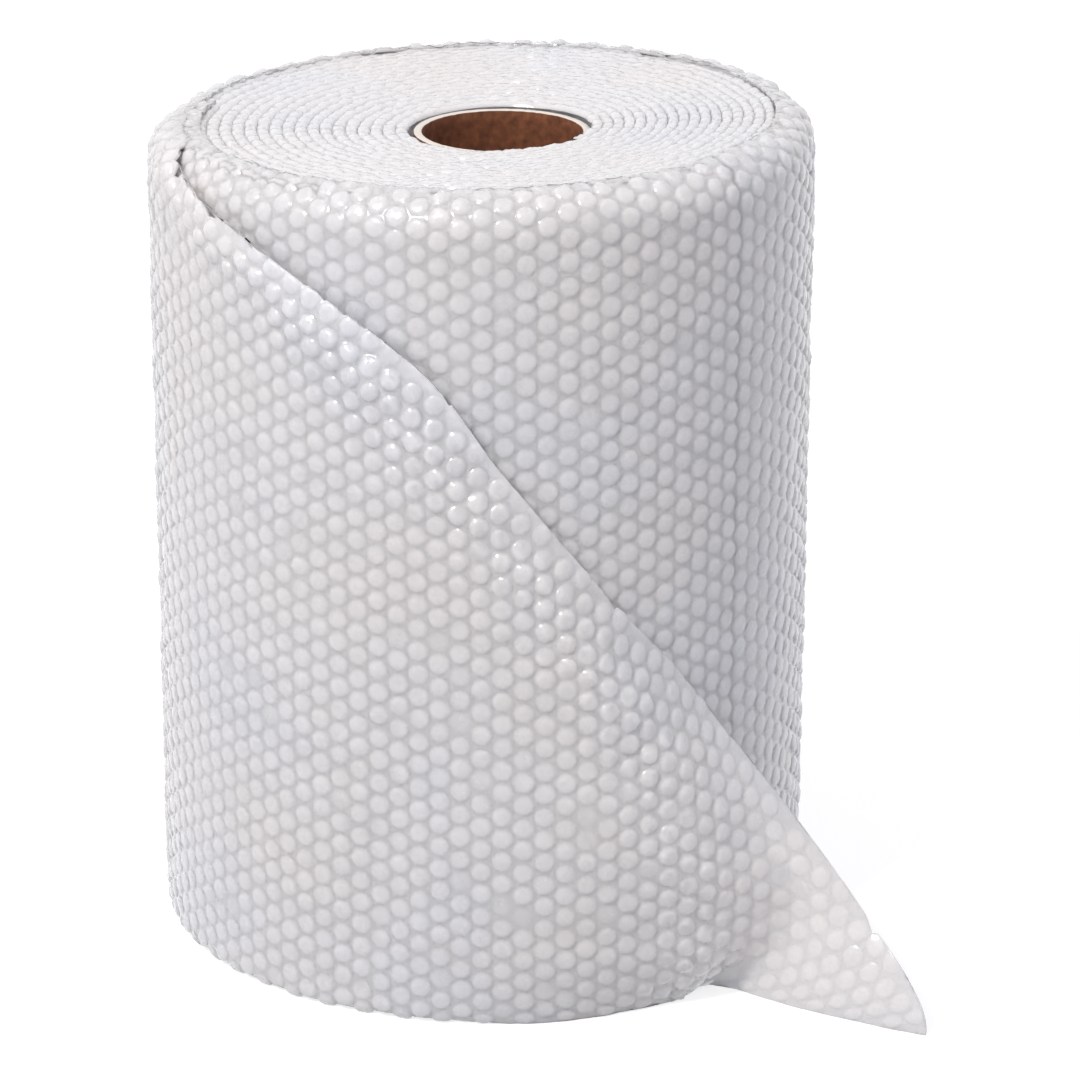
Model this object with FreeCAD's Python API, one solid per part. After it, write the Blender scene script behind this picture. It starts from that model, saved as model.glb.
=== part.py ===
"""Bubble wrap roll standing on its end: a kraft core tube and one wound sheet with a loose outer end.

Millimetres, +Z up. The origin is on the core's axis, on the surface that the roll stands on.
"""
import FreeCAD, Part
import math
import os

# Core tube
core_bore = 76.2
core_wall = 4.0
core_length = 393.0

# Wound sheet
web_width = 400.0
roll_diameter = 317.5
sheet_thickness = 4.2
winding_gap = 0.7
core_clearance = 0.3

# Bubbles of the outermost turns, drawn coarse: each low pyramid stands for a patch of small bubbles
bubble_spacing = 28.0
bubble_rise = 2.5

# The core's axis lies off the middle of the roll, because the turns are looser on one side
core_off_middle_x = 9.5
core_off_middle_y = -8.0

# Ends of the roll
top_slope = 1.4
dish_depth = 5.0
top_rim_radius = 18.0
bottom_rim_radius = 7.0

# Loose outer end. Each level is a share of the sheet's own height, and says how the sheet runs there:
# the angle where it lifts off, its crest (angle, lift), the hollow past it (angle, lift)
# and the cut edge (angle, lift). Angles are in degrees round the roll, lifts in millimetres.
LOOSE_END = (
    (0.000, -106.0, -56.0, 1.0, -46.5, 1.0, -39.2, 108.0),
    (0.110, -106.0, -56.0, 19.0, -43.0, 32.0, -38.1, 73.0),
    (0.224, -104.0, -60.0, 23.0, -48.0, 24.0, -39.8, 32.0),
    (0.376, -102.0, -67.0, 16.0, -59.0, 10.0, -50.8, 2.0),
    (0.526, -108.0, -80.0, 9.0, -74.0, 6.0, -69.0, 2.0),
    (0.684, -118.0, -97.0, 6.0, -92.0, 4.5, -86.7, 3.0),
    (0.821, -134.0, -113.0, 6.0, -107.5, 5.0, -102.6, 4.0),
    (0.895, -152.0, -131.0, 5.5, -125.0, 5.0, -119.6, 4.5),
    (0.975, -178.0, -160.0, 5.0, -154.0, 5.0, -148.0, 5.0),
    (1.000, -192.0, -174.0, 4.0, -168.0, 4.5, -163.0, 5.0),
)
belly_start = 0.4
loose_slack = 1.6
slack_steps = 3
rim_row = 1.5
rim_steps = 3
wound_steps = 11
steps_per_bend = 3

core_radius = core_bore / 2 + core_wall
off_middle = math.hypot(core_off_middle_x, core_off_middle_y)
off_angle = math.degrees(math.atan2(core_off_middle_y, core_off_middle_x))
roll_radius = roll_diameter / 2
half_facets = round(math.pi * roll_radius / bubble_spacing)
facets_per_turn = 2 * half_facets
bubble_rows = round(web_width / bubble_spacing)

# Middle line of the sheet, where it crosses the line through the core and the roll's middle
first_near = core_radius + core_clearance + sheet_thickness / 2
last_near = roll_radius - off_middle - sheet_thickness / 2
last_far = roll_radius + off_middle - sheet_thickness / 2
turns = int((last_near - first_near) / (sheet_thickness + winding_gap))
near_pitch = (last_near - first_near) / turns
far_pitch = (last_far - first_near) / (turns + 0.5)


def near(turn):
    """Distance of the sheet's middle line from the core's axis on the tight side."""
    return first_near + turn * near_pitch


def far(turn):
    """The same on the loose side, half a turn later."""
    return first_near + (turn + 0.5) * far_pitch


def blend(low, high, share):
    return low + (high - low) * share


def rounding(reach, radius):
    """How far a rim with this radius falls away at this distance from the roll's middle."""
    inside = min(max(reach - (roll_radius - radius), 0), radius)
    return radius - math.sqrt(radius**2 - inside**2)


def placed(point):
    """A point drawn with the tight side along +X, turned to where it lies on the roll."""
    return FreeCAD.Rotation(FreeCAD.Vector(0, 0, 1), off_angle).multVec(point)


def from_middle(point):
    """A placed point's offset from the roll's middle, along X, and its distance from it."""
    along_x = point.x + core_off_middle_x
    return along_x, math.hypot(along_x, point.y + core_off_middle_y)


def top_height(point):
    """Height of the slanting, dished top end with its rounded rim."""
    along_x, reach = from_middle(point)
    flat_radius = roll_radius - top_rim_radius
    dish = dish_depth * max(1 - reach / flat_radius, 0)
    slant = along_x * math.tan(math.radians(top_slope))
    return web_width + slant - dish - rounding(reach, top_rim_radius)


def bottom_height(point):
    return rounding(from_middle(point)[1], bottom_rim_radius)


def row_shares():
    """Shares of the height at which the bubbled face has its corners, with narrow rows for foot and rim."""
    foot = rim_row * bottom_rim_radius / (web_width - top_rim_radius)
    full = [(row + 1) / bubble_rows for row in range(bubble_rows - 1)]
    rim = [1 - step / rim_steps / bubble_rows for step in range(rim_steps - 1, -1, -1)]
    return [0, foot] + full + rim


def upright(x, y, shares):
    """Points of an upright edge of the sheet, from the foot up."""
    edge = []
    for share in shares:
        point = FreeCAD.Vector(x, y, 0)
        point.z = max(share * top_height(point), bottom_height(point))
        edge.append(point)
    return edge


def half_circle(start, end):
    """Middle and radius of the half circle between two crossings, given along +X."""
    return (start + end) / 2, abs(start - end) / 2


def wound_column(step):
    """Outer and inner edge of the sheet after this many facets, each from the bottom up."""
    turn, rest = divmod(step, facets_per_turn)
    if rest < half_facets:
        middle, radius = half_circle(near(turn), -far(turn))
    else:
        middle, radius = half_circle(-far(turn), near(turn + 1))
    angle = rest * 2 * math.pi / facets_per_turn
    ends = (0, 1)
    faces = [(sheet_thickness / 2, ends), (-sheet_thickness / 2, ends)]
    if step >= turns * facets_per_turn - half_facets:
        faces[0] = (sheet_thickness / 2 - bubble_rise, row_shares())
    edges = []
    for face, shares in faces:
        reach = radius + face
        foot = placed(FreeCAD.Vector(middle + reach * math.cos(angle), reach * math.sin(angle), 0))
        edges.append(upright(foot.x, foot.y, shares))
    return edges


def rising_level(share):
    """The loose end between the floor and its belly, which swells at once and then stands upright."""
    swell = math.sin(share * math.pi / 2)
    lean = 1 - math.cos(share * math.pi / 2)
    shares = (share, swell, swell, swell, swell, swell, lean, lean)
    return tuple(blend(low, high, part) for low, high, part in zip(LOOSE_END[0], LOOSE_END[1], shares))


def level_at(share):
    """The loose end at this share of the height, on smooth curves through the rows of its table."""
    belly = LOOSE_END[1][0]
    if share < belly:
        return rising_level(share / belly)
    index = max(row for row in range(1, len(LOOSE_END) - 1) if LOOSE_END[row][0] <= share)
    before, low, high = LOOSE_END[index - 1:index + 2]
    after = LOOSE_END[min(index + 2, len(LOOSE_END) - 1)]
    span = high[0] - low[0]
    part = (share - low[0]) / span
    rest = 1 - part
    level = []
    for first, start, end, last in zip(before, low, high, after):
        leaving = (end - first) / (high[0] - before[0]) * span
        arriving = (last - start) / (after[0] - low[0]) * span
        height = start * (1 + 2 * part) * rest**2 + end * (3 - 2 * part) * part**2
        level.append(height + leaving * part * rest**2 - arriving * rest * part**2)
    return tuple(level)


def loose_path(level):
    """Middle line of the loose end at one level, as a smooth curve from the last wound turn to the cut edge."""
    lift_off, crest, crest_lift, hollow, hollow_lift, edge, edge_lift = level[1:]
    attached = off_angle - 180
    path = []
    for step in range(wound_steps + 1):
        slack = loose_slack * min(step / slack_steps, 1)
        path.append((blend(attached, lift_off, step / wound_steps), slack))
    path.append(((lift_off + crest) / 2, crest_lift * belly_start))
    path.append((crest, crest_lift))
    path.append((hollow, hollow_lift))
    path.append(((hollow + edge) / 2, (hollow_lift + edge_lift) / 2))
    path.append((edge, edge_lift))
    middle, radius = half_circle(-far(turns), near(turns + 1))
    points = []
    for angle, lift in path:
        turned = math.radians(angle - off_angle)
        reach = radius + lift
        points.append(placed(FreeCAD.Vector(middle + reach * math.cos(turned), reach * math.sin(turned), 0)))
    line = Part.BSplineCurve()
    line.interpolate(Points=points, Parameters=[float(index) for index in range(len(points))])
    return line


def loose_columns():
    """Outer and inner edge of the loose end at each of its columns, each from the bottom up."""
    levels = [level_at(share) for share in row_shares()]
    lines = [loose_path(level) for level in levels]
    bends = int(lines[0].LastParameter) - wound_steps
    stops = [float(step) for step in range(wound_steps)]
    stops += [wound_steps + step / steps_per_bend for step in range(bends * steps_per_bend + 1)]
    columns = []
    for stop in stops:
        lying = min(max(1 - (stop - wound_steps) / steps_per_bend, 0), 1)
        edges = []
        for face in (sheet_thickness / 2 - bubble_rise, -sheet_thickness / 2):
            edge = []
            for level, line in zip(levels, lines):
                along = line.tangent(stop)[0]
                outwards = FreeCAD.Vector(along.y, -along.x, 0).normalize()
                point = line.value(stop) + outwards * face
                low = bottom_height(point) * lying if level is levels[0] else 0
                point.z = max(level[0] * top_height(point), low)
                edge.append(point)
            edges.append(edge)
        columns.append(edges)
    return columns


class Skin:
    """Closed surface of flat triangles, kept as corners and the three corners of each triangle."""

    def __init__(self):
        self.corners = []
        self.triangles = []

    def add(self, points):
        first = len(self.corners)
        self.corners += points
        return list(range(first, len(self.corners)))

    def quad(self, a, b, c, d):
        self.triangles += [(a, b, c), (a, c, d)]

    def field(self, ring, rise):
        """Four triangles from the corners of a field to its middle, which stands out this far."""
        a, b, c, d = [self.corners[corner] for corner in ring]
        outwards = (c - a).cross(d - b).normalize()
        peak = self.add([(a + b + c + d) / len(ring) + outwards * rise])[0]
        for corner, after in zip(ring, ring[1:] + ring[:1]):
            self.triangles.append((corner, after, peak))

    def between(self, left, right, rise):
        """The face from one upright edge to the next; a short left edge is fanned out to a long right one."""
        if len(left) < len(right):
            for row in range(len(right) - 1):
                self.triangles.append((left[0], right[row], right[row + 1]))
            self.triangles.append((left[0], right[-1], left[-1]))
            return
        for row in range(len(left) - 1):
            ring = (left[row], right[row], right[row + 1], left[row + 1])
            if 0 < row < bubble_rows:
                self.field(ring, rise)
            else:
                self.quad(*ring)

    def solid(self):
        shell = Part.Shape()
        shell.makeShapeFromMesh((self.corners, self.triangles), 0.001)
        return Part.makeSolid(shell).removeSplitter()


def bubble_wrap_web():
    """The whole sheet as one solid, from its start on the core to its cut edge."""
    skin = Skin()
    wound = [wound_column(step) for step in range(turns * facets_per_turn + half_facets)]
    columns = [[skin.add(edge) for edge in column] for column in wound + loose_columns()]
    for (outer, inner), (next_outer, next_inner) in zip(columns, columns[1:]):
        skin.between(outer, next_outer, bubble_rise)
        before = len(skin.triangles)
        skin.between(inner, next_inner, 0)
        skin.triangles[before:] = [corners[::-1] for corners in skin.triangles[before:]]
        skin.quad(outer[-1], next_outer[-1], next_inner[-1], inner[-1])
        skin.quad(inner[0], next_inner[0], next_outer[0], outer[0])
    outer, inner = columns[0]
    skin.quad(outer[0], outer[-1], inner[-1], inner[0])
    outer, inner = columns[-1]
    for row in range(len(outer) - 1):
        skin.quad(outer[row], inner[row], inner[row + 1], outer[row + 1])
    return skin.solid()


def core_tube():
    outside = Part.makeCylinder(core_radius, core_length)
    return outside.cut(Part.makeCylinder(core_bore / 2, core_length))


def main():
    os.makedirs("parts", exist_ok=True)
    core_tube().exportStep("parts/core_tube.step")
    web = bubble_wrap_web()
    web.exportStep("parts/bubble_wrap_web.step")
    print("turns", turns, "pitches", round(near_pitch, 2), round(far_pitch, 2))
    print("web solids", len(web.Solids), "faces", len(web.Faces), "volume", round(web.Volume))


main()
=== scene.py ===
"""Looks of the bubble wrap roll: bubbled film wound on a kraft core, with a loose outer end.

Sizes below are in millimetres and are turned into metres where a mesh is made. The origin is on the
core's axis, on the surface that the roll stands on, with +Z up and -Y to the front.
"""

import math

import bpy
import numpy as np
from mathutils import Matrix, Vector


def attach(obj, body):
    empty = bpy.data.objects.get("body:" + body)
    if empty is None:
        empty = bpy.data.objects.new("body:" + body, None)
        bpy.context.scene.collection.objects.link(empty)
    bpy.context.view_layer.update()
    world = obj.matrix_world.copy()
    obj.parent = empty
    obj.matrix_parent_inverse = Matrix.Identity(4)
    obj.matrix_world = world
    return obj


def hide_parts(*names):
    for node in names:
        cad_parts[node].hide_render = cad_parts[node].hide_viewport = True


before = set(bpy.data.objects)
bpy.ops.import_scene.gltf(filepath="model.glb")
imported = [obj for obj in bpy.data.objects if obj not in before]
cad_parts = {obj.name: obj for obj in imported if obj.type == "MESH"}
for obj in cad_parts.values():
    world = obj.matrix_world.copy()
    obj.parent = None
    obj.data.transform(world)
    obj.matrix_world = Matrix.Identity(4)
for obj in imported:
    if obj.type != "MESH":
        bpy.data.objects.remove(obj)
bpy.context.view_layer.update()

MM = 0.001
SEED = 7
tiny = 1e-9

# Core tube
core_bore = 76.2
core_wall = 4.0
core_length = 393.0

# Wound sheet
web_width = 400.0
roll_diameter = 317.5
sheet_thickness = 4.2
winding_gap = 0.7
core_clearance = 0.3
core_off_middle_x = 9.5
core_off_middle_y = -8.0

# Ends of the roll
top_slope = 1.4
dish_depth = 5.0
top_rim_radius = 18.0
bottom_rim_radius = 7.0

# Loose outer end: share of the height, lift-off angle, crest (angle, lift), hollow (angle, lift),
# cut edge (angle, lift). Angles are in degrees round the roll, lifts in millimetres.
LOOSE_END = np.array((
    (0.000, -106.0, -56.0, 1.0, -46.5, 1.0, -39.2, 108.0),
    (0.110, -106.0, -56.0, 19.0, -43.0, 32.0, -38.1, 73.0),
    (0.224, -104.0, -60.0, 23.0, -48.0, 24.0, -39.8, 32.0),
    (0.376, -102.0, -67.0, 16.0, -59.0, 10.0, -50.8, 2.0),
    (0.526, -108.0, -80.0, 9.0, -74.0, 6.0, -69.0, 2.0),
    (0.684, -118.0, -97.0, 6.0, -92.0, 3.5, -86.7, 2.0),
    (0.821, -134.0, -113.0, 5.0, -107.5, 3.0, -102.6, 2.0),
    (0.895, -152.0, -131.0, 4.0, -125.0, 3.0, -119.6, 2.0),
    (0.975, -178.0, -160.0, 3.0, -154.0, 2.5, -148.0, 2.0),
    (1.000, -192.0, -174.0, 2.0, -168.0, 2.0, -163.0, 1.5),
))
# Share of the crest's lift at half way to it, gap below the attached part and the steps over which it
# opens, and steps along the attached part
belly_start = 0.4
loose_slack = 0.4
slack_steps = 3
wound_steps = 11
steps_to_crest = 2
steps_past_attached = 5

# Bubbles: spacing along the roll's axis, size of the dome, and where the film lies in the sheet
bubble_pitch = 11.3
bubble_radius = 5.2
bubble_height = 1.5
film_back = -1.9
film_land = -0.15
# Places closer than this are taken as one
same_place = 0.02

# Unevenness of the bubbles: least share of the radius and height, share of bubbles that are partly empty
# and their height, least height at an edge, and spread of place, lean, outline and dents
least_radius = 0.94
least_height = 0.86
empty_bubbles = 0.05
empty_low = 0.35
empty_high = 0.75
edge_height = 0.06
edge_margin = 1
shift_spread = 0.22
lean_spread = 0.16
lean_reach = 5
outline_spread = 0.022
dent_spread = 0.07
pucker_height = 0.3
PUCKER_STEPS = (127.1, 311.7)
pucker_scale = 43.7

# Creases: how far they reach from the fold and the shoulder, where the fold's reach doubles, and the
# ripples' number, height on plain and creased film, and wavelengths
fold_reach = 24.0
fold_wide_from = 0.6
fold_wide_over = 0.2
shoulder_reach = 34.0
ripples = 14
long_plain = 0.3
long_creased = 0.3
long_waves = (26, 90)
short_plain = 0.04
short_creased = 0.36
short_waves = (5, 13)

# Share of each bubble's own facing in the shading, on plain and on creased film
plain_shading = 0.33
creased_shading = 1.1

core_radius = core_bore / 2 + core_wall
roll_radius = roll_diameter / 2
off_middle = math.hypot(core_off_middle_x, core_off_middle_y)
off_angle = math.degrees(math.atan2(core_off_middle_y, core_off_middle_x))
first_near = core_radius + core_clearance + sheet_thickness / 2
last_near = roll_radius - off_middle - sheet_thickness / 2
last_far = roll_radius + off_middle - sheet_thickness / 2
turns = int((last_near - first_near) / (sheet_thickness + winding_gap))
near_pitch = (last_near - first_near) / turns
far_pitch = (last_far - first_near) / (turns + 0.5)


def blend(low, high, share):
    return low + (high - low) * share


def ease(value):
    """0 to 1 with a soft start and end."""
    value = np.clip(value, 0, 1)
    return value * value * (3 - 2 * value)


def smooth(xs, ys, at):
    """A smooth curve through the points (xs, ys), read at the places in at."""
    slopes = np.gradient(ys, xs)
    index = np.clip(np.searchsorted(xs, at, side="right") - 1, 0, len(xs) - 2)
    span = xs[index + 1] - xs[index]
    share = (at - xs[index]) / span
    start = (2 * share + 1) * (1 - share) ** 2 * ys[index]
    end = share**2 * (3 - 2 * share) * ys[index + 1]
    leaving = share * (1 - share) ** 2 * slopes[index] * span
    arriving = share**2 * (share - 1) * slopes[index + 1] * span
    return start + end + leaving + arriving


def waves(s, t, seed, count, shortest, longest):
    """Even random ripples over the sheet, about -1 to 1, with wavelengths between these two."""
    draw = np.random.default_rng(seed)
    total = np.zeros(np.broadcast(s, t).shape)
    for _ in range(count):
        length = draw.uniform(shortest, longest)
        angle = draw.uniform(0, math.pi)
        phase = draw.uniform(0, 2 * math.pi)
        total += np.sin((s * math.cos(angle) + t * math.sin(angle)) * 2 * math.pi / length + phase)
    return total / math.sqrt(count)


def near(turn):
    return first_near + turn * near_pitch


def far(turn):
    return first_near + (turn + 0.5) * far_pitch


def winding(turn):
    """Middle, radius and angle of the sheet's line after this many turns, as arrays."""
    whole = np.floor(turn + tiny)
    rest = turn - whole
    tight = np.where(rest < 0.5, near(whole), near(whole + 1))
    middle = (tight - far(whole)) / 2
    radius = (tight + far(whole)) / 2
    return middle, radius, np.radians(rest * 360 + off_angle)


def on_line(middle, reach, angle):
    """X and Y of points this far from the arc's middle."""
    turned = math.radians(off_angle)
    x = middle * math.cos(turned) + reach * np.cos(angle)
    y = middle * math.sin(turned) + reach * np.sin(angle)
    return x, y


def slant(x):
    return (x + core_off_middle_x) * math.tan(math.radians(top_slope))


def make_mesh(name, points, faces, material):
    """A smooth mesh piece from points in millimetres, standing for the wound sheet or the core."""
    mesh = bpy.data.meshes.new(name)
    mesh.from_pydata((points * MM).tolist(), [], faces)
    mesh.validate()
    mesh.shade_smooth()
    mesh.materials.append(material)
    piece = bpy.data.objects.new(name, mesh)
    bpy.context.scene.collection.objects.link(piece)
    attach(piece, "root")
    return piece


class Sheet:
    """The outer run of the sheet: its last turn and a half and the loose end, over arc length and width."""

    step = 2.5
    samples = 2000
    loose_samples = 500
    spare_columns = 8
    inside_last = 1.001

    def __init__(self):
        arc = math.pi / 2
        self.width = (bottom_rim_radius + top_rim_radius) * arc
        self.width += web_width - bottom_rim_radius - top_rim_radius
        self.t = np.linspace(0, self.width, int(self.width / self.step))
        self.profile()
        wound_s, wound_x, wound_y = self.wound_part()
        loose_s, loose_x, loose_y = self.loose_part()
        self.s = np.concatenate([wound_s, loose_s])
        x = np.concatenate([wound_x, loose_x], 1)
        y = np.concatenate([wound_y, loose_y], 1)
        lying = np.concatenate([np.ones(wound_x.shape), self.lying], 1)
        z = blend(self.free_height[:, None], self.height[:, None], lying)
        z = z + slant(x) * (self.t / self.width)[:, None]
        self.points = np.stack([x, y, z], 2)
        self.find_normals()

    def profile(self):
        """Height and inset of the sheet across its width, rounded in at the foot and the shoulder."""
        foot = bottom_rim_radius * math.pi / 2
        shoulder = self.width - top_rim_radius * math.pi / 2
        low = np.clip(self.t, 0, foot) / bottom_rim_radius
        high = np.clip(self.t - shoulder, 0, None) / top_rim_radius
        upright = np.clip(self.t, foot, shoulder) - foot
        self.foot_inset = bottom_rim_radius * (1 - np.sin(low))
        self.shoulder_inset = top_rim_radius * (1 - np.cos(high))
        self.height = bottom_rim_radius * (1 - np.cos(low)) + upright + top_rim_radius * np.sin(high)
        self.free_height = low * bottom_rim_radius * 2 / math.pi + upright + top_rim_radius * np.sin(high)

    def wound_part(self):
        """From one and a half turns before the end, up to where the loose half turn starts at s = 0."""
        turn = np.linspace(turns - 0.5, turns + 0.5, self.samples)
        middle, radius, angle = winding(turn)
        x, y = on_line(middle, radius, angle)
        run = np.concatenate([[0], np.cumsum(np.hypot(np.diff(x), np.diff(y)))])
        s = np.arange(math.floor(run[-1] / self.step), 0, -1) * self.step
        turn = np.interp(run[-1] - s, run, turn)
        middle, radius, angle = winding(turn)
        reach = radius - (self.foot_inset + self.shoulder_inset)[:, None]
        x, y = on_line(middle, reach, angle)
        self.wound_turn = turn
        return -s, x, y

    def levels(self):
        """The loose end's table, read at every row of the width."""
        share = np.clip(self.free_height / web_width, 0, 1)
        rows = [smooth(LOOSE_END[:, 0], column, share) for column in LOOSE_END.T]
        levels = np.stack(rows, 1)
        rising = np.clip(share / LOOSE_END[1, 0], 0, 1)
        swell = np.sin(rising * math.pi / 2)
        lean = 1 - np.cos(rising * math.pi / 2)
        shares = np.stack([rising] + [swell] * 5 + [lean] * 2, 1)
        low = blend(LOOSE_END[0], LOOSE_END[1], shares)
        return np.where((share < LOOSE_END[1, 0])[:, None], low, levels)

    def loose_part(self):
        """The loose half turn and its free end, each row laid out by its own arc length."""
        middle = (near(turns + 1) - far(turns)) / 2
        radius = (near(turns + 1) + far(turns)) / 2
        attached = off_angle - 180
        self.level = self.levels()
        knots = np.arange(wound_steps + 1.0)
        dense = np.linspace(0, float(wound_steps + steps_past_attached), self.loose_samples)
        lines = []
        for row, level in enumerate(self.level):
            lift_off, crest, crest_lift, hollow, hollow_lift, edge, edge_lift = level[1:]
            angles = list(blend(attached, lift_off, knots / wound_steps))
            angles += [(lift_off + crest) / 2, crest, hollow, (hollow + edge) / 2, edge]
            rise = np.clip(np.arange(wound_steps + 1) / slack_steps, 0, 1)
            lifts = list(loose_slack * rise) + [crest_lift * belly_start, crest_lift, hollow_lift]
            lifts += [(hollow_lift + edge_lift) / 2, edge_lift]
            places = np.arange(float(len(angles)))
            angle = np.radians(smooth(places, np.array(angles), dense))
            lift = smooth(places, np.array(lifts, float), dense)
            x, y = on_line(middle, radius + lift, angle)
            run = np.concatenate([[0], np.cumsum(np.hypot(np.diff(x), np.diff(y)))])
            lines.append((run, angle, lift, dense))
        self.edge_s = np.array([run[-1] for run, _, _, _ in lines])
        fold_place = float(wound_steps + steps_to_crest)
        self.fold_s = np.array([np.interp(fold_place, place, run) for run, _, _, place in lines])
        s = np.arange(0, int(self.edge_s.max() / self.step) + self.spare_columns) * self.step
        xs, ys, lying = [], [], []
        for row, (run, angle, lift, place) in enumerate(lines):
            at = np.interp(s, run, place)
            past = np.clip(s - run[-1], 0, None)
            row_angle = np.interp(s, run, angle)
            row_lift = np.interp(s, run, lift)
            flat = 1 - ease(at - wound_steps)
            inset = self.shoulder_inset[row] + self.foot_inset[row] * flat
            x, y = on_line(middle, radius + row_lift - inset, row_angle)
            end_x, end_y = on_line(middle, radius + lift[-2:] - inset[-1], angle[-2:])
            ahead = np.array([np.diff(end_x)[0], np.diff(end_y)[0]])
            ahead = ahead / np.linalg.norm(ahead)
            xs.append(x + past * ahead[0])
            ys.append(y + past * ahead[1])
            lying.append(flat)
        self.lying = np.array(lying)
        return s, np.array(xs), np.array(ys)

    def find_normals(self):
        along = np.gradient(self.points, axis=1)
        across = np.gradient(self.points, axis=0)
        normals = np.cross(along, across)
        self.normals = normals / np.linalg.norm(normals, axis=2, keepdims=True)

    def read(self, field, s, t):
        """A field of the sheet's grid, read between its lines."""
        column = np.clip((s - self.s[0]) / self.step, 0, len(self.s) - self.inside_last)
        row = np.clip(t / (self.t[1] - self.t[0]), 0, len(self.t) - self.inside_last)
        j = column.astype(int)
        k = row.astype(int)
        u = (column - j)[..., None]
        v = (row - k)[..., None]
        low = blend(field[k, j], field[k, j + 1], u)
        high = blend(field[k + 1, j], field[k + 1, j + 1], u)
        return blend(low, high, v)

    def at(self, s, t, lift):
        """Points of the sheet, this far out from its middle."""
        return self.read(self.points, s, t) + self.read(self.normals, s, t) * lift[..., None]

    def edge(self, t):
        """Arc length at which the loose end is cut, at this place across the width."""
        return np.interp(t, self.t, self.edge_s)

    def creased(self, s, t):
        """1 on the fold where the loose end leaves the roll and on the shoulder, 0 away from them."""
        fold = np.interp(t, self.t, self.fold_s)
        high = ease((t / self.width - fold_wide_from) / fold_wide_over)
        reach = blend(fold_reach, fold_reach * 2, high)
        on_fold = np.exp(-((s - fold) / reach) ** 2)
        on_shoulder = ease((t - self.width + shoulder_reach) / shoulder_reach)
        return np.maximum(on_fold, on_shoulder)

    def lift_off(self, t):
        """Arc length, on the turn below, from which the loose end leaves that turn open to view."""
        angle = np.interp(t, self.t, self.level[:, 1])
        share = (angle - (off_angle - 180)) / 180
        return blend(self.s[0], self.half_length, share)


# Hexagonal cell round one bubble, counted in sixths of the column spacing and quarters of the pitch
CELL_EDGE = np.array((
    (4, 0), (3, 1), (2, 2), (0, 2), (-2, 2), (-3, 1), (-4, 0), (-3, -1), (-2, -2), (0, -2), (2, -2), (3, -1),
))
# Rings of the dome: share of its radius, share of its height
DOME_RINGS = ((0.42, 0.95), (0.72, 0.74), (0.91, 0.36), (1.0, 0.0))
column_spacing = bubble_pitch * math.sqrt(3) / 2
steps_per_column = 6
steps_per_row = 4
unit_s = column_spacing / steps_per_column
unit_t = bubble_pitch / steps_per_row
sides = len(CELL_EDGE)


def cell_faces():
    """Faces of one bubble: vertex 0 is its middle, then come the rings, and last the cell's edge."""
    faces = []
    for side in range(sides):
        after = (side + 1) % sides
        faces.append((0, 1 + side, 1 + after))
        for ring in range(len(DOME_RINGS)):
            inner = 1 + ring * sides
            outer = inner + sides
            faces.append((inner + side, outer + side, outer + after, inner + after))
    return faces


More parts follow.
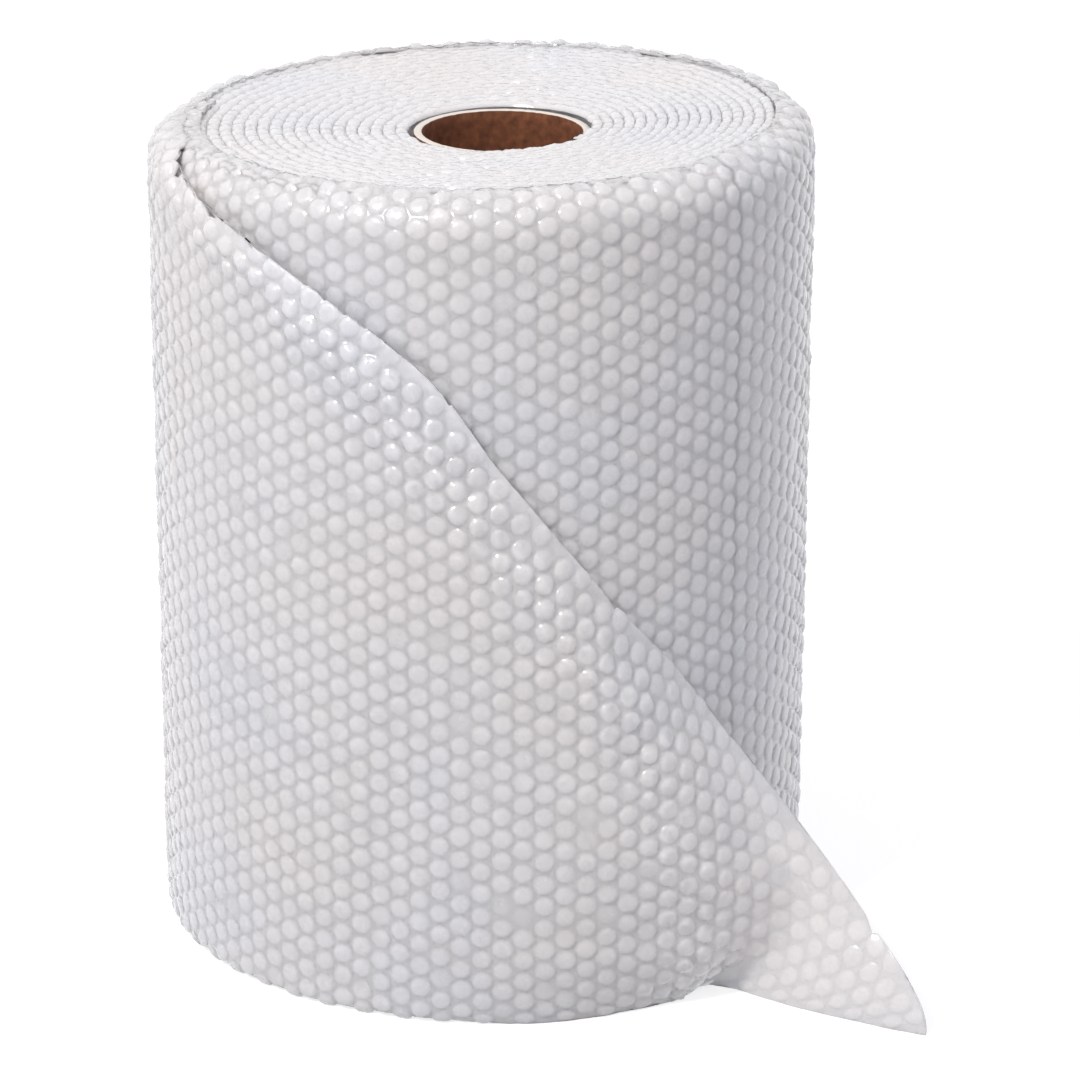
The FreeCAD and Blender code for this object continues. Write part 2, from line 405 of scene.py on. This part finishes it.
def bubble_film(name, sheet, cells, limit, material, others):
    """A closed skin of bubbled film over these cells of the sheet, clipped to its edges."""
    draw = np.random.default_rng(SEED + len(cells))
    count = len(cells)
    centre = cells * (unit_s, unit_t)
    turn = np.arange(sides) * 2 * math.pi / sides
    size = draw.uniform(least_radius, 1.0, count) * bubble_radius
    height = draw.uniform(least_height, 1.0, count) * bubble_height
    empty = draw.random(count) < empty_bubbles
    height[empty] *= draw.uniform(empty_low, empty_high, empty.sum())
    reach_s = limit(centre[:, 1]) - centre[:, 0]
    reach_t = np.minimum(centre[:, 1], sheet.width - centre[:, 1])
    room = (np.minimum(reach_s, reach_t) - edge_margin) / (bubble_radius - edge_margin)
    height *= np.clip(room, edge_height, 1)
    shift = draw.normal(0, shift_spread, (count, 2))
    lean = draw.normal(0, lean_spread, (count, 2))
    parts_s, parts_t, parts_h = [], [], []
    top = centre + shift
    parts_s.append(top[:, :1])
    parts_t.append(top[:, 1:])
    parts_h.append(height[:, None])
    for share, level in DOME_RINGS:
        wobble = 1 + draw.normal(0, outline_spread, (count, sides)) * (share < 1)
        ds = size[:, None] * share * wobble * np.cos(turn)
        dt = size[:, None] * share * wobble * np.sin(turn)
        drift = shift * (1 - share)
        dent = 1 + draw.normal(0, dent_spread, (count, sides)) * (level > 0)
        tilt = 1 + (ds * lean[:, :1] + dt * lean[:, 1:]) / lean_reach
        parts_s.append(centre[:, :1] + drift[:, :1] + ds)
        parts_t.append(centre[:, 1:] + drift[:, 1:] + dt)
        parts_h.append(height[:, None] * level * dent * tilt)
    s = np.concatenate(parts_s, 1)
    t = np.concatenate(parts_t, 1)
    h = np.concatenate(parts_h, 1)
    own = s.shape[1]

    keys = (cells[:, None, :] + CELL_EDGE[None]).reshape(-1, 2)
    unique, inverse = np.unique(keys, axis=0, return_inverse=True)
    inverse = inverse.reshape(count, sides)
    edge_s = unique[:, 0] * unit_s
    edge_t = unique[:, 1] * unit_t

    all_s = np.concatenate([s.ravel(), edge_s, edge_s])
    all_t = np.clip(np.concatenate([t.ravel(), edge_t, edge_t]), 0, sheet.width)
    all_s = np.minimum(all_s, limit(all_t))
    lift = np.concatenate([h.ravel() + film_land, np.full(len(edge_s), film_land)])
    lift = np.concatenate([lift, np.full(len(edge_s), film_back)])
    pucker = pucker_height * np.sin(unique @ PUCKER_STEPS * pucker_scale)
    lift[-2 * len(edge_s):] += np.concatenate([pucker, pucker])
    creased = sheet.creased(all_s, all_t)
    lift += (long_plain + long_creased * creased) * waves(all_s, all_t, SEED, ripples, *long_waves)
    lift += (short_plain + short_creased * creased) * waves(all_s, all_t, SEED + 1, ripples, *short_waves)
    points = sheet.at(all_s, all_t, lift)

    first = np.arange(count)[:, None] * own
    front = count * own + inverse
    back = front + len(unique)
    index = np.concatenate([first + np.arange(own)[None], front], 1)
    faces = []
    template = cell_faces()
    for cell in range(count):
        row = index[cell]
        faces += [tuple(row[list(face)]) for face in template]
        faces.append(tuple(back[cell][::-1]))
    faces += rim_faces(front, len(unique), unique, others)
    piece = make_mesh(name, points, clean(faces, points), material)
    outward = sheet.read(sheet.normals, all_s, all_t)
    outward[-len(unique):] *= -1
    shade_as_film(piece.data, outward, blend(plain_shading, creased_shading, creased))
    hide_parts("bubble_wrap_web")


def shade_as_film(mesh, outward, share):
    """Shade the mesh between the sheet's own facing and each bubble's, as light crosses clear film."""
    own = np.empty(len(mesh.vertices) * 3)
    mesh.vertex_normals.foreach_get("vector", own)
    mixed = blend(outward, own.reshape(-1, 3), share[:, None])
    mixed /= np.linalg.norm(mixed, axis=1, keepdims=True) + tiny
    mesh.normals_split_custom_set_from_vertices(mixed.tolist())


def border(cells):
    """The edges round each of these cells, by their places on the lattice."""
    edges = set()
    for cell in cells:
        ring = [tuple(corner) for corner in (CELL_EDGE + cell).tolist()]
        edges.update(zip(ring, ring[1:] + ring[:1]))
    return edges


def rim_faces(front, shift, places, others):
    """Faces that join front and back along the outline of the cells, but not where other cells go on."""
    edges = {}
    for ring in front:
        for side in range(sides):
            a, b = int(ring[side]), int(ring[(side + 1) % sides])
            if (b, a) in edges:
                del edges[(b, a)]
            else:
                edges[(a, b)] = True
    first = int(front.min())
    rim = []
    for a, b in edges:
        if (tuple(places[b - first].tolist()), tuple(places[a - first].tolist())) not in others:
            rim.append((b, a, a + shift, b + shift))
    return rim


def clean(faces, points):
    """Faces without repeated places, which clipping to an edge leaves behind."""
    places = np.round(points / same_place).astype(np.int64)
    _, same = np.unique(places, axis=0, return_inverse=True)
    same = same.ravel()
    kept = []
    for face in faces:
        ring = []
        for corner in face:
            if not ring or same[ring[-1]] != same[corner]:
                ring.append(int(corner))
        while len(ring) > 1 and same[ring[0]] == same[ring[-1]]:
            ring.pop()
        if len(ring) > 2:
            kept.append(tuple(ring))
    return kept


def lattice(sheet, s_low, s_high):
    """Bubble cells with their middle between these arc lengths, over the whole width."""
    first = math.ceil(s_low / column_spacing)
    last = math.ceil(s_high / column_spacing)
    cells = []
    for i in range(first, last):
        for j in range(-1, int(sheet.width / bubble_pitch) + 2):
            row = steps_per_row * j + steps_per_row // 2 * (i % 2)
            if -bubble_radius < row * unit_t < sheet.width + bubble_radius:
                cells.append((steps_per_column * i, row))
    return np.array(cells)


# How far the turn below starts past its own end and reaches in behind the loose end, and how far the
# lattice goes on past the cut
start_margin = 8
overlap = 12
cut_margin = 6


def outer_film(sheet, material):
    """The film that shows: the back, the turn below the loose end, and the loose end itself."""
    half = np.interp(turns, sheet.wound_turn, sheet.s[:len(sheet.wound_turn)])
    sheet.half_length = half
    below = lattice(sheet, sheet.s[0] + start_margin, half)
    open_from = sheet.lift_off(below[:, 1] * unit_t) - overlap
    loose = lattice(sheet, 0, sheet.edge_s.max() + cut_margin)
    inside = loose[:, 0] * unit_s < sheet.edge(loose[:, 1] * unit_t) + bubble_pitch / 2
    parts = {
        "film_front": below[below[:, 0] * unit_s > open_from],
        "film_back_right": lattice(sheet, half, half / 2),
        "film_back_left": lattice(sheet, half / 2, 0),
        "film_loose_end": loose[inside],
    }
    borders = {name: border(cells) for name, cells in parts.items()}
    for name, cells in parts.items():
        others = set().union(*(borders[other] for other in parts if other != name))
        bubble_film(name, sheet, cells, sheet.edge, material, others)


# Roof-shaped section of one turn at the end of the roll: share of the pitch, share of the depth
END_SECTION = (
    (-0.56, 1.0), (-0.45, 0.26), (-0.24, 0.05), (0.0, 0.0), (0.24, 0.06), (0.45, 0.26), (0.56, 1.0),
)
# Steps along the ribbon and depth of its creases
top_step = 1.6
bottom_step = 2.6
end_depth = 3.0
end_samples = 40000
end_overlap = 3.0
# Beads along each turn's edge: least height, fullness, how far they pinch in beyond a share of the
# pitch, drop between them, and spread of the crushed film
least_bead = 0.2
bead_fullness = 0.7
bead_pinch = 0.16
pinch_from = 0.3
bead_drop = 1.3
crush_spread = 0.16
# Ripples of the whole end: height, number and wavelengths
end_ripple = 0.5
end_ripple_share = 0.6
end_ripples = 10
end_waves = (25, 80)


def roll_end(name, top, step, material):
    """The crushed, beaded edges of all turns at one end, as one ribbon that winds out from the core."""
    draw = np.random.default_rng(SEED + top)
    dense = np.linspace(0, turns + 0.5, end_samples)
    middle, radius, angle = winding(dense)
    x, y = on_line(middle, radius, angle)
    from_middle = np.hypot(x + core_off_middle_x, y + core_off_middle_y)
    rim = top_rim_radius if top else bottom_rim_radius
    last = np.argmax(from_middle > roll_radius - rim + end_overlap)
    run = np.concatenate([[0], np.cumsum(np.hypot(np.diff(x), np.diff(y)))])
    s = np.arange(0, run[last], step)
    turn = np.interp(s, run, dense)
    middle, radius, angle = winding(turn)
    loose_share = (1 - np.cos(angle - math.radians(off_angle))) / 2
    pitch = blend(near_pitch, far_pitch, loose_share)
    beads = int(s[-1] / column_spacing) + 3
    bead_height = draw.uniform(least_bead, 1.0, beads)
    bead = s / column_spacing
    index = bead.astype(int)
    swell = np.sin((bead - index) * math.pi) ** bead_fullness * bead_height[index]
    points = []
    for across, drop in END_SECTION:
        pinch = 1 - bead_pinch * (1 - swell) * (abs(across) > pinch_from)
        reach = radius + across * pitch * pinch
        x, y = on_line(middle, reach, angle)
        from_middle = np.hypot(x + core_off_middle_x, y + core_off_middle_y)
        crush = draw.normal(0, crush_spread, len(s)) * (drop < 1)
        fall = drop * end_depth + (1 - swell) * bead_drop * (1 - drop) + crush
        fall += end_ripple * (1 + waves(x, y, SEED + 3, end_ripples, *end_waves)) * end_ripple_share
        fall = np.maximum(fall, 0)
        if top:
            dish = dish_depth * np.clip(1 - from_middle / (roll_radius - rim), 0, None)
            z = web_width + slant(x) - dish - fall
        else:
            z = fall
        points.append(np.stack([x, y, z], 1))
    points = np.concatenate(points)
    count = len(s)
    faces = []
    for row in range(len(END_SECTION) - 1):
        low, high = row * count, (row + 1) * count
        for place in range(count - 1):
            face = (low + place, high + place, high + place + 1, low + place + 1)
            faces.append(face[::-1] if top else face)
    piece = make_mesh(name, points, faces, material)
    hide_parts("bubble_wrap_web")


# Kraft core: spiral plies and a slightly fuzzy rim
ply_width = 96.0
ply_angle = math.radians(62)
seam_depth = 0.28
seam_width = 1.6
core_sides = 144
core_rim = 0.6
core_rim_round = 0.3
inner_rows = 90
outer_rows = 30
fuzz_spread = 0.12
wall_tolerance = 0.01


def core_piece(material):
    """The core tube with its spiral seams, as a closed ring section swept round the axis."""
    draw = np.random.default_rng(SEED)
    inner = core_bore / 2
    bevel = core_rim * core_rim_round
    section = [(inner, z) for z in np.linspace(core_rim, core_length - core_rim, inner_rows)]
    section += [(inner + bevel, core_length - bevel), (inner + core_rim, core_length)]
    section += [(core_radius - core_rim, core_length), (core_radius - bevel, core_length - bevel)]
    section += [(core_radius, z) for z in np.linspace(core_length - core_rim, core_rim, outer_rows)]
    section += [(core_radius - core_rim, 0), (inner + core_rim, 0)]
    angle = np.arange(core_sides) * 2 * math.pi / core_sides
    whole = 2 * math.pi * inner * math.sin(ply_angle)
    lap = whole / round(whole / ply_width)
    rings = []
    for radius, z in section:
        along = z * math.cos(ply_angle) + inner * angle * math.sin(ply_angle)
        off = np.abs((along + lap / 2) % lap - lap / 2)
        groove = seam_depth * np.clip(1 - off / seam_width, 0, 1)
        on_bore = radius < inner + wall_tolerance
        on_outside = radius > core_radius - wall_tolerance
        grooved = radius + groove * on_bore - groove * on_outside
        fuzz = draw.normal(0, fuzz_spread, core_sides) * (z > core_length - core_rim)
        height = np.full(core_sides, z) - abs(fuzz)
        rings.append(np.stack([grooved * np.cos(angle), grooved * np.sin(angle), height], 1))
    points = np.concatenate(rings)
    faces = []
    for row in range(len(section)):
        low = row * core_sides
        high = (row + 1) % len(section) * core_sides
        for place in range(core_sides):
            beside = (place + 1) % core_sides
            faces.append((low + place, high + place, high + beside, low + beside))
    piece = make_mesh("kraft_core", points, faces, material)
    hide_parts("core_tube")


def new_material(name):
    material = bpy.data.materials.new(name)
    material.use_nodes = True
    tree = material.node_tree
    shader = tree.nodes["Principled BSDF"]
    return material, tree, shader


def add_node(tree, kind, **settings):
    node = tree.nodes.new(kind)
    for key, value in settings.items():
        if key in node.inputs:
            node.inputs[key].default_value = value
        else:
            setattr(node, key, value)
    return node


def noise_node(tree, scale, detail, vector=None):
    node = add_node(tree, "ShaderNodeTexNoise", Scale=scale, Detail=detail)
    if vector is not None:
        tree.links.new(vector, node.inputs["Vector"])
    return node


def ramp_node(tree, value, stops):
    node = tree.nodes.new("ShaderNodeValToRGB")
    tree.links.new(value, node.inputs["Fac"])
    elements = node.color_ramp.elements
    while len(elements) < len(stops):
        elements.new(1)
    for element, (place, colour) in zip(elements, stops):
        element.position = place
        element.color = (*colour, 1)
    return node


# Film: scale and detail of its patches, gloss and creases, strength and depth of the creases in metres,
# stops of colour and roughness, clear coat, and how far light scatters in it in metres
film_patches = (9.0, 3.0)
film_gloss = (160.0, 2.0)
film_creases = (420.0, 3.0)
crease_strength = 0.35
crease_depth = 0.0006
FILM_COLOURS = (
    (0.32, (0.72, 0.74, 0.80)),
    (0.50, (0.78, 0.77, 0.78)),
    (0.68, (0.80, 0.76, 0.75)),
)
FILM_ROUGHNESS = ((0.3, (0.16, 0.16, 0.16)), (0.7, (0.34, 0.34, 0.34)))
film_ior = 1.5
film_coat = 0.9
film_coat_roughness = 0.11
film_scatter = 1.0
film_scatter_reach = 0.008


def film_material():
    """Cloudy white polyethylene film: glossy, with faint warm and cool patches and fine creases."""
    material, tree, shader = new_material("bubble_film")
    coordinates = tree.nodes.new("ShaderNodeTexCoord").outputs["Object"]
    patches = noise_node(tree, *film_patches, coordinates)
    colour = ramp_node(tree, patches.outputs["Fac"], FILM_COLOURS)
    tree.links.new(colour.outputs["Color"], shader.inputs["Base Color"])
    gloss = noise_node(tree, *film_gloss, coordinates)
    rough = ramp_node(tree, gloss.outputs["Fac"], FILM_ROUGHNESS)
    tree.links.new(rough.outputs["Color"], shader.inputs["Roughness"])
    creases = noise_node(tree, *film_creases, coordinates)
    bump = add_node(tree, "ShaderNodeBump", Strength=crease_strength, Distance=crease_depth)
    tree.links.new(creases.outputs["Fac"], bump.inputs["Height"])
    tree.links.new(bump.outputs["Normal"], shader.inputs["Normal"])
    shader.inputs["IOR"].default_value = film_ior
    shader.inputs["Coat Weight"].default_value = film_coat
    shader.inputs["Coat Roughness"].default_value = film_coat_roughness
    shader.inputs["Subsurface Weight"].default_value = film_scatter
    shader.inputs["Subsurface Radius"].default_value = (1.0, 1.0, 1.0)
    shader.inputs["Subsurface Scale"].default_value = film_scatter_reach
    return material


# Board: scale and detail of its fibres, their strength and depth in metres, stops of colour, and the paler
# cut rim with the stops of upward facing at which it starts
board_fibres = (260.0, 6.0)
fibre_strength = 0.5
fibre_depth = 0.0004
BOARD_COLOURS = (
    (0.30, (0.11, 0.036, 0.016)),
    (0.55, (0.19, 0.064, 0.026)),
    (0.75, (0.26, 0.100, 0.044)),
)
BOARD_RIM = ((0.55, (0, 0, 0)), (0.85, (1, 1, 1)))
RIM_COLOUR = (0.84, 0.78, 0.70, 1)
board_roughness = 0.85


def board_material():
    """Brown kraft board with darker and paler fibres, and a cream tone on the cut rim."""
    material, tree, shader = new_material("kraft_board")
    coordinates = tree.nodes.new("ShaderNodeTexCoord").outputs["Object"]
    fibres = noise_node(tree, *board_fibres, coordinates)
    colour = ramp_node(tree, fibres.outputs["Fac"], BOARD_COLOURS)
    facing = tree.nodes.new("ShaderNodeSeparateXYZ")
    normal = tree.nodes.new("ShaderNodeNewGeometry").outputs["Normal"]
    tree.links.new(normal, facing.inputs["Vector"])
    rim = ramp_node(tree, facing.outputs["Z"], BOARD_RIM)
    mix = tree.nodes.new("ShaderNodeMix")
    mix.data_type = "RGBA"
    mix.inputs["B"].default_value = RIM_COLOUR
    tree.links.new(rim.outputs["Color"], mix.inputs["Factor"])
    tree.links.new(colour.outputs["Color"], mix.inputs["A"])
    tree.links.new(mix.outputs["Result"], shader.inputs["Base Color"])
    bump = add_node(tree, "ShaderNodeBump", Strength=fibre_strength, Distance=fibre_depth)
    tree.links.new(fibres.outputs["Fac"], bump.inputs["Height"])
    tree.links.new(bump.outputs["Normal"], shader.inputs["Normal"])
    shader.inputs["Roughness"].default_value = board_roughness
    return material


def floor_material():
    """Pale floor that keeps the shadow and reads as white to the camera and in reflections."""
    material, tree, shader = new_material("pale_floor")
    shader.inputs["Base Color"].default_value = FLOOR_COLOUR
    shader.inputs["Roughness"].default_value = 1.0
    shader.inputs["Specular IOR Level"].default_value = 0.0
    lit = add_node(tree, "ShaderNodeEmission", Strength=floor_glow)
    added = tree.nodes.new("ShaderNodeAddShader")
    tree.links.new(shader.outputs["BSDF"], added.inputs[0])
    tree.links.new(lit.outputs["Emission"], added.inputs[1])
    seen = seen_rays(tree)
    mix = tree.nodes.new("ShaderNodeMixShader")
    tree.links.new(seen, mix.inputs["Fac"])
    tree.links.new(shader.outputs["BSDF"], mix.inputs[1])
    tree.links.new(added.outputs["Shader"], mix.inputs[2])
    tree.links.new(mix.outputs["Shader"], tree.nodes["Material Output"].inputs["Surface"])
    return material


def seen_rays(tree):
    """1 for camera, glossy and transmission rays."""
    path = tree.nodes.new("ShaderNodeLightPath")
    first = add_node(tree, "ShaderNodeMath", operation="MAXIMUM")
    second = add_node(tree, "ShaderNodeMath", operation="MAXIMUM")
    tree.links.new(path.outputs["Is Camera Ray"], first.inputs[0])
    tree.links.new(path.outputs["Is Glossy Ray"], first.inputs[1])
    tree.links.new(first.outputs["Value"], second.inputs[0])
    tree.links.new(path.outputs["Is Transmission Ray"], second.inputs[1])
    return second.outputs["Value"]


floor_size = 60
floor_glow = 0.72
FLOOR_COLOUR = (0.48, 0.48, 0.49, 1)
SKY_COLOUR = (0.94, 0.94, 1.0, 1)
sky_strength = 0.68
KEY_PLACE = (-1.3, -1.9, 2.5)
KEY_COLOUR = (1.0, 0.96, 0.92)
key_size = 0.32
key_power = 56
LIGHT_AIM = (0, 0, 0.2)


def studio():
    """Plain pale floor, white surroundings, soft light all round and a key from the upper left."""
    bpy.ops.mesh.primitive_plane_add(size=floor_size)
    floor = bpy.context.active_object
    floor.name = "studio_floor"
    floor.data.materials.append(floor_material())
    world = bpy.data.worlds.new("studio")
    bpy.context.scene.world = world
    world.use_nodes = True
    tree = world.node_tree
    around = tree.nodes["Background"]
    around.inputs["Color"].default_value = SKY_COLOUR
    around.inputs["Strength"].default_value = sky_strength
    white = add_node(tree, "ShaderNodeBackground", Color=(1, 1, 1, 1), Strength=1.0)
    mix = tree.nodes.new("ShaderNodeMixShader")
    tree.links.new(seen_rays(tree), mix.inputs["Fac"])
    tree.links.new(around.outputs["Background"], mix.inputs[1])
    tree.links.new(white.outputs["Background"], mix.inputs[2])
    tree.links.new(mix.outputs["Shader"], tree.nodes["World Output"].inputs["Surface"])
    area_light("key", KEY_PLACE, key_size, key_power, KEY_COLOUR)


def area_light(name, place, size, power, colour):
    data = bpy.data.lights.new(name, "AREA")
    data.size = size
    data.energy = power
    data.color = colour
    light = bpy.data.objects.new(name, data)
    light.location = place
    aim = Vector(LIGHT_AIM) - Vector(place)
    light.rotation_euler = aim.to_track_quat("-Z", "Y").to_euler()
    bpy.context.scene.collection.objects.link(light)


# Camera: place and target in millimetres, roll in degrees, focal length and frame in pixels
camera_place = (18.3, -2007.0, 913.7)
camera_target = (18.3, 8.0, 184.3)
camera_roll = 0.17
focal_pixels = 4370.0
frame_pixels = 1080.0
sensor = 36.0
camera_reach = 100


def camera():
    data = bpy.data.cameras.new("camera")
    data.sensor_width = sensor
    data.lens = focal_pixels / frame_pixels * sensor
    data.clip_end = camera_reach
    view = bpy.data.objects.new("camera", data)
    view.location = Vector(camera_place) * MM
    aim = Vector(camera_target) - Vector(camera_place)
    turn = aim.to_track_quat("-Z", "Y").to_euler()
    view.rotation_euler = turn
    view.rotation_euler.rotate_axis("Z", math.radians(camera_roll))
    bpy.context.scene.collection.objects.link(view)
    bpy.context.scene.camera = view


bpy.context.scene.view_settings.view_transform = "Standard"
camera()
studio()
film = film_material()
board = board_material()
outer_film(Sheet(), film)
roll_end("film_top_end", True, top_step, film)
roll_end("film_bottom_end", False, bottom_step, film)
core_piece(board)
